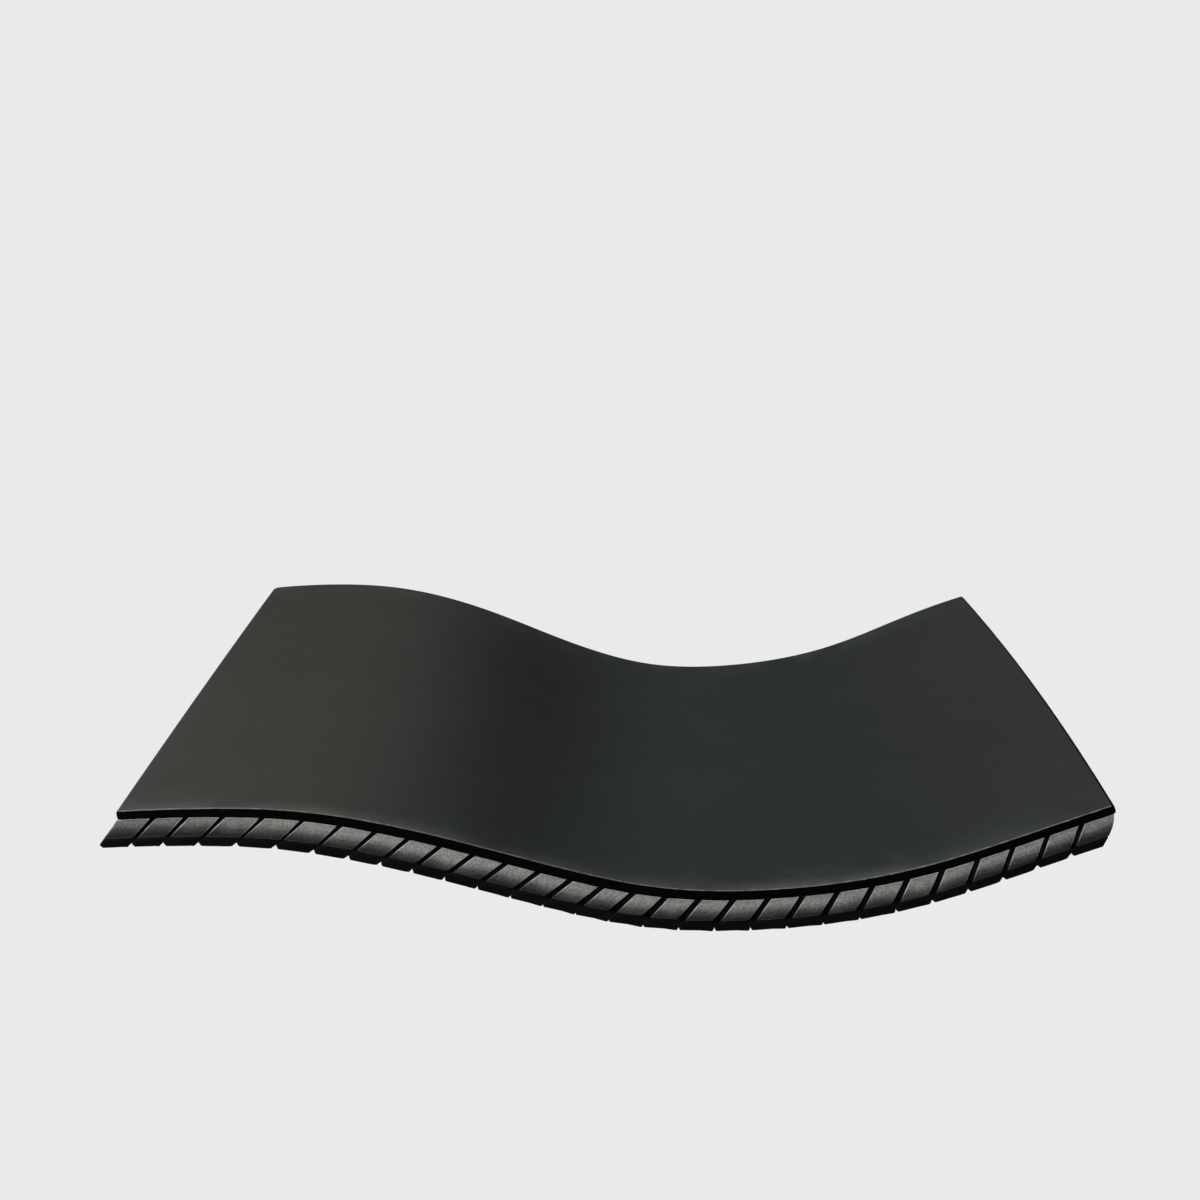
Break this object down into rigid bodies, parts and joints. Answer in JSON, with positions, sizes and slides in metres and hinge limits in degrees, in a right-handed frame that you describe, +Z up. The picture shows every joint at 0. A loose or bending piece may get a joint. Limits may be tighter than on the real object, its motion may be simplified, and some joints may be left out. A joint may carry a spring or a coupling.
{
  "type": "slant board",
  "caption": "Bendable wave-shaped exercise board: smooth deck sheet over cross slats with rubber treads, holding a crest, a trough and a raised end.",
  "frame": {"origin": "middle of the bounding box in X and Y, at the lowest tread corner in Z", "axes": "+X along the board from the crest end to the raised end, +Y from the front edge to the rear edge, +Z up"},
  "size_m": [0.7648, 0.459, 0.1265],
  "materials": {
    "deck": "satin charcoal synthetic rubber sheet with black edges",
    "core": "mill finish, soft temper",
    "slat": "grey speckled, sand-textured moulding",
    "tread": "matt black rubber"
  },
  "bodies": {
    "link_01": {"slat_01": "slat", "tread_01": "tread"},
    "link_02": {"slat_02": "slat", "tread_02": "tread"},
    "link_03": {"slat_03": "slat", "tread_03": "tread"},
    "link_04": {"slat_04": "slat", "tread_04": "tread"},
    "link_05": {"slat_05": "slat", "tread_05": "tread"},
    "link_06": {"slat_06": "slat", "tread_06": "tread"},
    "link_07": {"slat_07": "slat", "tread_07": "tread"},
    "link_08": {"slat_08": "slat", "tread_08": "tread"},
    "link_09": {"slat_09": "slat", "tread_09": "tread"},
    "link_10": {"slat_10": "slat", "tread_10": "tread"},
    "link_11": {"slat_11": "slat", "tread_11": "tread"},
    "link_12": {"slat_12": "slat", "tread_12": "tread"},
    "link_13": {"slat_13": "slat", "tread_13": "tread"},
    "link_14": {"slat_14": "slat", "tread_14": "tread"},
    "link_15": {"slat_15": "slat", "tread_15": "tread"},
    "link_16": {"slat_16": "slat", "tread_16": "tread"},
    "link_17": {"slat_17": "slat", "tread_17": "tread"},
    "link_18": {"slat_18": "slat", "tread_18": "tread", "deck_sheet": "deck", "bending_core": "core"},
    "link_19": {"slat_19": "slat", "tread_19": "tread"},
    "link_20": {"slat_20": "slat", "tread_20": "tread"},
    "link_21": {"slat_21": "slat", "tread_21": "tread"},
    "link_22": {"slat_22": "slat", "tread_22": "tread"},
    "link_23": {"slat_23": "slat", "tread_23": "tread"},
    "link_24": {"slat_24": "slat", "tread_24": "tread"},
    "link_25": {"slat_25": "slat", "tread_25": "tread"},
    "link_26": {"slat_26": "slat", "tread_26": "tread"},
    "link_27": {"slat_27": "slat", "tread_27": "tread"},
    "link_28": {"slat_28": "slat", "tread_28": "tread"},
    "link_29": {"slat_29": "slat", "tread_29": "tread"}
  },
  "joints": [
    {"name": "bend_01_02", "type": "hinge", "parent": "link_02", "child": "link_01", "pos_m": [-0.33678, 0, 0.10359], "axis": [0.0156, 0.9983, 0.0559], "range_deg": [-4.4, 10.9]},
    {"name": "bend_02_03", "type": "hinge", "parent": "link_03", "child": "link_02", "pos_m": [-0.31162, 0, 0.10466], "axis": [0.0152, 0.9983, 0.0564], "range_deg": [-3.7, 11.2]},
    {"name": "bend_03_04", "type": "hinge", "parent": "link_04", "child": "link_03", "pos_m": [-0.2837, 0, 0.10496], "axis": [0.0148, 0.9983, 0.0559], "range_deg": [-2.6, 11.9]},
    {"name": "bend_04_05", "type": "hinge", "parent": "link_05", "child": "link_04", "pos_m": [-0.25374, 0, 0.10396], "axis": [0.0144, 0.9984, 0.0542], "range_deg": [-0.9, 13.3]},
    {"name": "bend_05_06", "type": "hinge", "parent": "link_06", "child": "link_05", "pos_m": [-0.22385, 0, 0.1009], "axis": [0.0137, 0.9986, 0.0512], "range_deg": [-0.7, 13.9]},
    {"name": "bend_06_07", "type": "hinge", "parent": "link_07", "child": "link_06", "pos_m": [-0.19583, 0, 0.0959], "axis": [0.0127, 0.9988, 0.0474], "range_deg": [-2.2, 13.1]},
    {"name": "bend_07_08", "type": "hinge", "parent": "link_08", "child": "link_07", "pos_m": [-0.17013, 0, 0.08977], "axis": [0.0113, 0.999, 0.0431], "range_deg": [-3.5, 12.1]},
    {"name": "bend_08_09", "type": "hinge", "parent": "link_09", "child": "link_08", "pos_m": [-0.14607, 0, 0.08299], "axis": [0.0095, 0.9992, 0.0382], "range_deg": [-4.1, 11.6]},
    {"name": "bend_09_10", "type": "hinge", "parent": "link_10", "child": "link_09", "pos_m": [-0.12237, 0, 0.07544], "axis": [0.0074, 0.9994, 0.0326], "range_deg": [-5.1, 11.1]},
    {"name": "bend_10_11", "type": "hinge", "parent": "link_11", "child": "link_10", "pos_m": [-0.09839, 0, 0.06717], "axis": [0.005, 0.9996, 0.0262], "range_deg": [-6.6, 10.5]},
    {"name": "bend_11_12", "type": "hinge", "parent": "link_12", "child": "link_11", "pos_m": [-0.07399, 0, 0.05851], "axis": [0.0029, 0.9998, 0.0196], "range_deg": [-7.2, 9.2]},
    {"name": "bend_12_13", "type": "hinge", "parent": "link_13", "child": "link_12", "pos_m": [-0.04955, 0, 0.05004], "axis": [0.0013, 0.9999, 0.0137], "range_deg": [-7.9, 8.2]},
    {"name": "bend_13_14", "type": "hinge", "parent": "link_14", "child": "link_13", "pos_m": [-0.02546, 0, 0.04227], "axis": [0.0003, 1, 0.009], "range_deg": [-8.9, 7.4]},
    {"name": "bend_14_15", "type": "hinge", "parent": "link_15", "child": "link_14", "pos_m": [-0.00169, 0, 0.03553], "axis": [-0.0003, 1, 0.0054], "range_deg": [-10.3, 6.5]},
    {"name": "bend_15_16", "type": "hinge", "parent": "link_16", "child": "link_15", "pos_m": [0.02228, 0, 0.03009], "axis": [-0.0006, 1, 0.0027], "range_deg": [-11.7, 5.3]},
    {"name": "bend_16_17", "type": "hinge", "parent": "link_17", "child": "link_16", "pos_m": [0.04707, 0, 0.02637], "axis": [-0.0004, 1, 0.0009], "range_deg": [-12.1, 4.9]},
    {"name": "bend_17_18", "type": "hinge", "parent": "link_18", "child": "link_17", "pos_m": [0.0728, 0, 0.02461], "axis": [-0.0001, 1, 0.0001], "range_deg": [-11.7, 5.5], "deforming": ["deck_sheet"]},
    {"name": "bend_18_19", "type": "hinge", "parent": "link_18", "child": "link_19", "pos_m": [0.09915, 0, 0.02469], "axis": [-0.0001, -1, -0.0001], "range_deg": [-11, 6.5], "deforming": ["bending_core"]},
    {"name": "bend_19_20", "type": "hinge", "parent": "link_19", "child": "link_20", "pos_m": [0.12565, 0, 0.02625], "axis": [-0.0002, -1, -0.0006], "range_deg": [-10.6, 7]},
    {"name": "bend_20_21", "type": "hinge", "parent": "link_20", "child": "link_21", "pos_m": [0.15199, 0, 0.02909], "axis": [-0.0003, -1, -0.0015], "range_deg": [-10.5, 7.2]},
    {"name": "bend_21_22", "type": "hinge", "parent": "link_21", "child": "link_22", "pos_m": [0.17806, 0, 0.03317], "axis": [-0.0002, -1, -0.0027], "range_deg": [-10.7, 6.9]},
    {"name": "bend_22_23", "type": "hinge", "parent": "link_22", "child": "link_23", "pos_m": [0.20395, 0, 0.03862], "axis": [0, -1, -0.0043], "range_deg": [-11.1, 6.1]},
    {"name": "bend_23_24", "type": "hinge", "parent": "link_23", "child": "link_24", "pos_m": [0.22978, 0, 0.04579], "axis": [0.0003, -1, -0.0067], "range_deg": [-11.3, 5.8]},
    {"name": "bend_24_25", "type": "hinge", "parent": "link_24", "child": "link_25", "pos_m": [0.25542, 0, 0.05476], "axis": [0.0011, -0.9999, -0.0099], "range_deg": [-10.9, 6.6]},
    {"name": "bend_25_26", "type": "hinge", "parent": "link_25", "child": "link_26", "pos_m": [0.28064, 0, 0.06511], "axis": [0.0025, -0.9999, -0.0135], "range_deg": [-9.4, 8.2]},
    {"name": "bend_26_27", "type": "hinge", "parent": "link_26", "child": "link_27", "pos_m": [0.30533, 0, 0.07598], "axis": [0.0042, -0.9999, -0.0164], "range_deg": [-7, 9.5]},
    {"name": "bend_27_28", "type": "hinge", "parent": "link_27", "child": "link_28", "pos_m": [0.32961, 0, 0.08658], "axis": [0.0055, -0.9998, -0.0179], "range_deg": [-5.7, 10.1]},
    {"name": "bend_28_29", "type": "hinge", "parent": "link_28", "child": "link_29", "pos_m": [0.35365, 0, 0.09657], "axis": [0.0061, -0.9998, -0.0177], "range_deg": [-5.2, 10.3]}
  ]
}
